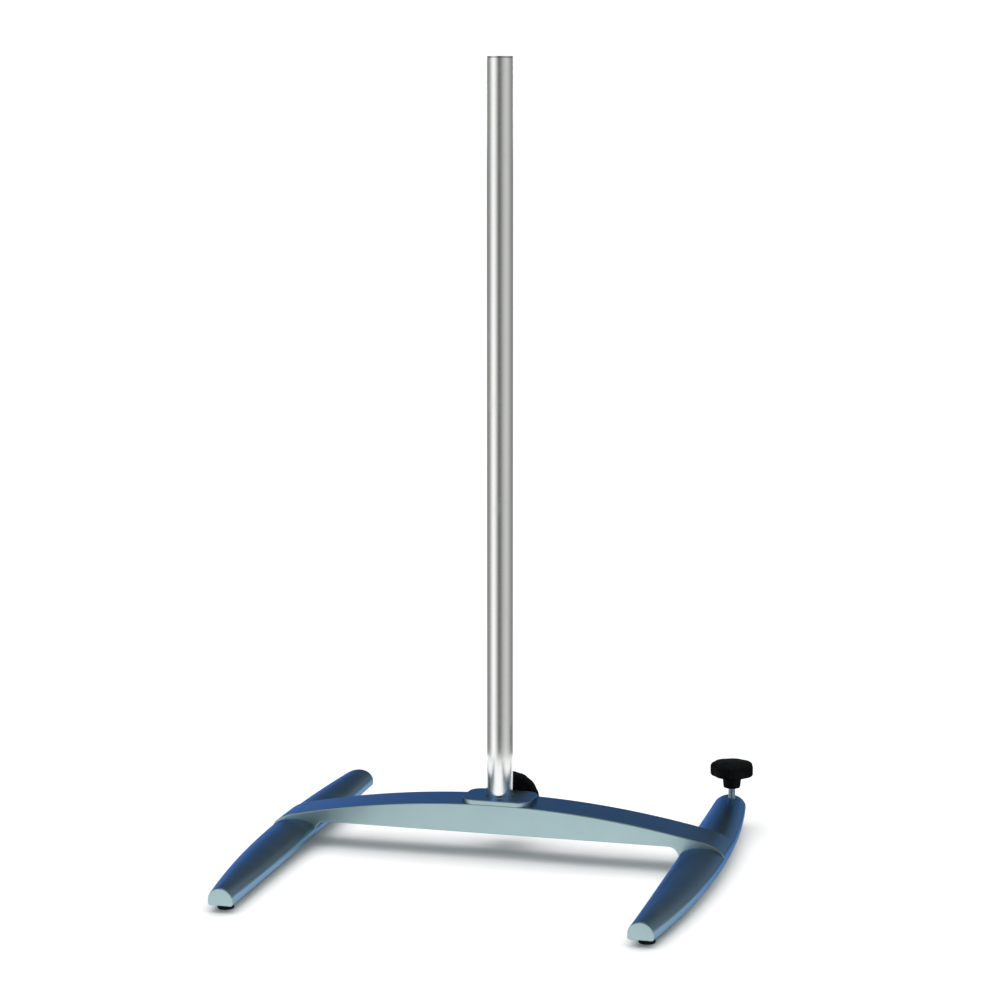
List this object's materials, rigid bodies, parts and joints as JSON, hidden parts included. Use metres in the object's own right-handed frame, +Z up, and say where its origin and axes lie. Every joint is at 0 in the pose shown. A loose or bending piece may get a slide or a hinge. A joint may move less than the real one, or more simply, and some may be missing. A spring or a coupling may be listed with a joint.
{
  "type": "retort stand",
  "caption": "Laboratory retort stand: cast H-shaped base, tall round steel column clamped by a rear hand knob, rubber feet and a levelling screw at one corner.",
  "frame": {"origin": "floor level under the middle of the bounding box; the column's axis stands 52.25 mm behind it at X = 0", "axes": "+Z up along the column, +Y to the rear where the clamp knob is, +X to the side with the levelling screw"},
  "size_m": [0.6192, 0.5886, 1.0505],
  "materials": {
    "paint": "fine metallic blue-grey stove enamel, satin",
    "column_steel": "drawn stainless tube, polished",
    "column_end": "turned, satin",
    "zinc_steel": "bright zinc plate",
    "brass": "turned",
    "knob_plastic": "black moulded, satin",
    "pad_plastic": "black moulded, matt",
    "foot_rubber": "black moulded, matt"
  },
  "bodies": {
    "base": {"crossbeam": "paint", "leg_left": "paint", "leg_right": "paint", "foot_front_left": "foot_rubber", "foot_front_right": "foot_rubber", "foot_rear_left": "foot_rubber", "foot_screw_front_left": "zinc_steel", "foot_screw_front_right": "zinc_steel", "foot_screw_rear_left": "zinc_steel", "leg_bolt_left_front": "zinc_steel", "leg_bolt_left_rear": "zinc_steel", "leg_bolt_right_front": "zinc_steel", "leg_bolt_right_rear": "zinc_steel", "leg_washer_left_front": "zinc_steel", "leg_washer_left_rear": "zinc_steel", "leg_washer_right_front": "zinc_steel", "leg_washer_right_rear": "zinc_steel", "clamp_bush": "zinc_steel", "leveling_bush": "zinc_steel"},
    "column": {"column_tube": "column_steel", "column_cap": "column_end", "column_plug": "column_end"},
    "clamp_pad": {"clamp_pad": "brass"},
    "clamp_screw": {"clamp_stud": "zinc_steel", "clamp_knob": "knob_plastic"},
    "leveling_foot": {"leveling_foot": "pad_plastic"},
    "leveling_screw": {"leveling_screw": "zinc_steel", "leveling_knob": "knob_plastic"}
  },
  "joints": [
    {"name": "column_lift", "type": "slide", "parent": "base", "child": "column", "axis": [0, 0, 1], "range_m": [0, 0.045]},
    {"name": "clamp_travel", "type": "slide", "parent": "base", "child": "clamp_pad", "axis": [0, 1, 0], "range_m": [0, 0.006]},
    {"name": "clamp_spin", "type": "hinge", "parent": "clamp_pad", "child": "clamp_screw", "pos_m": [0, 0.05225, 0.06], "axis": [0, 1, 0], "range_deg": [0, 1440]},
    {"name": "leveling_travel", "type": "slide", "parent": "base", "child": "leveling_foot", "axis": [0, 0, 1], "range_m": [-0.012, 0.009]},
    {"name": "leveling_spin", "type": "hinge", "parent": "leveling_foot", "child": "leveling_screw", "pos_m": [0.2745, 0.26455, 0.05], "axis": [0, 0, 1], "range_deg": [-2880, 2160]}
  ],
  "couplings": [
    {"joint": "clamp_travel", "follows": "clamp_spin", "m_per_rad": 0.0002387},
    {"joint": "leveling_travel", "follows": "leveling_spin", "m_per_rad": 0.0002387}
  ]
}
